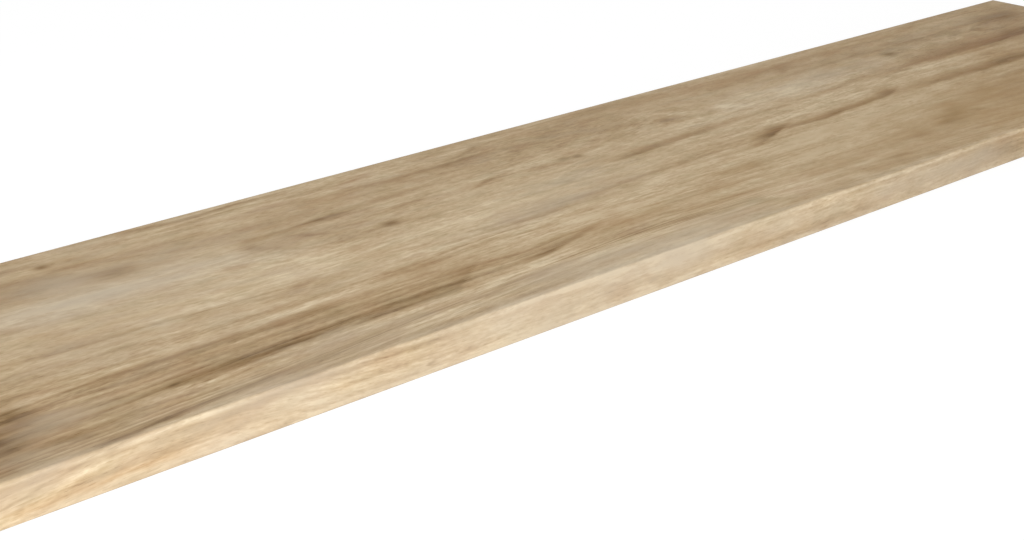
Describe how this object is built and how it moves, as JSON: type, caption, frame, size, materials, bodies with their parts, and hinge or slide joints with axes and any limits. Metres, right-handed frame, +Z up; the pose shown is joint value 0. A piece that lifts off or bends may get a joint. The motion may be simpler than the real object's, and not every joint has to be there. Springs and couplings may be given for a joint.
{
  "type": "stair tread",
  "caption": "Solid wood stair tread: a long, square-edged oak board with eased arrises that lies level on stair strings or carriages as one step.",
  "frame": {"origin": "centre of the underside", "axes": "+X along the tread, to the right for someone going up the stairs; +Y from the front edge to the back edge, which meets the riser; +Z up out of the walking surface"},
  "size_m": [1.5, 0.3, 0.028],
  "materials": {
    "oak": "planed and sanded oak, unfinished"
  },
  "bodies": {
    "root": {"tread_board": "oak"}
  },
  "joints": []
}
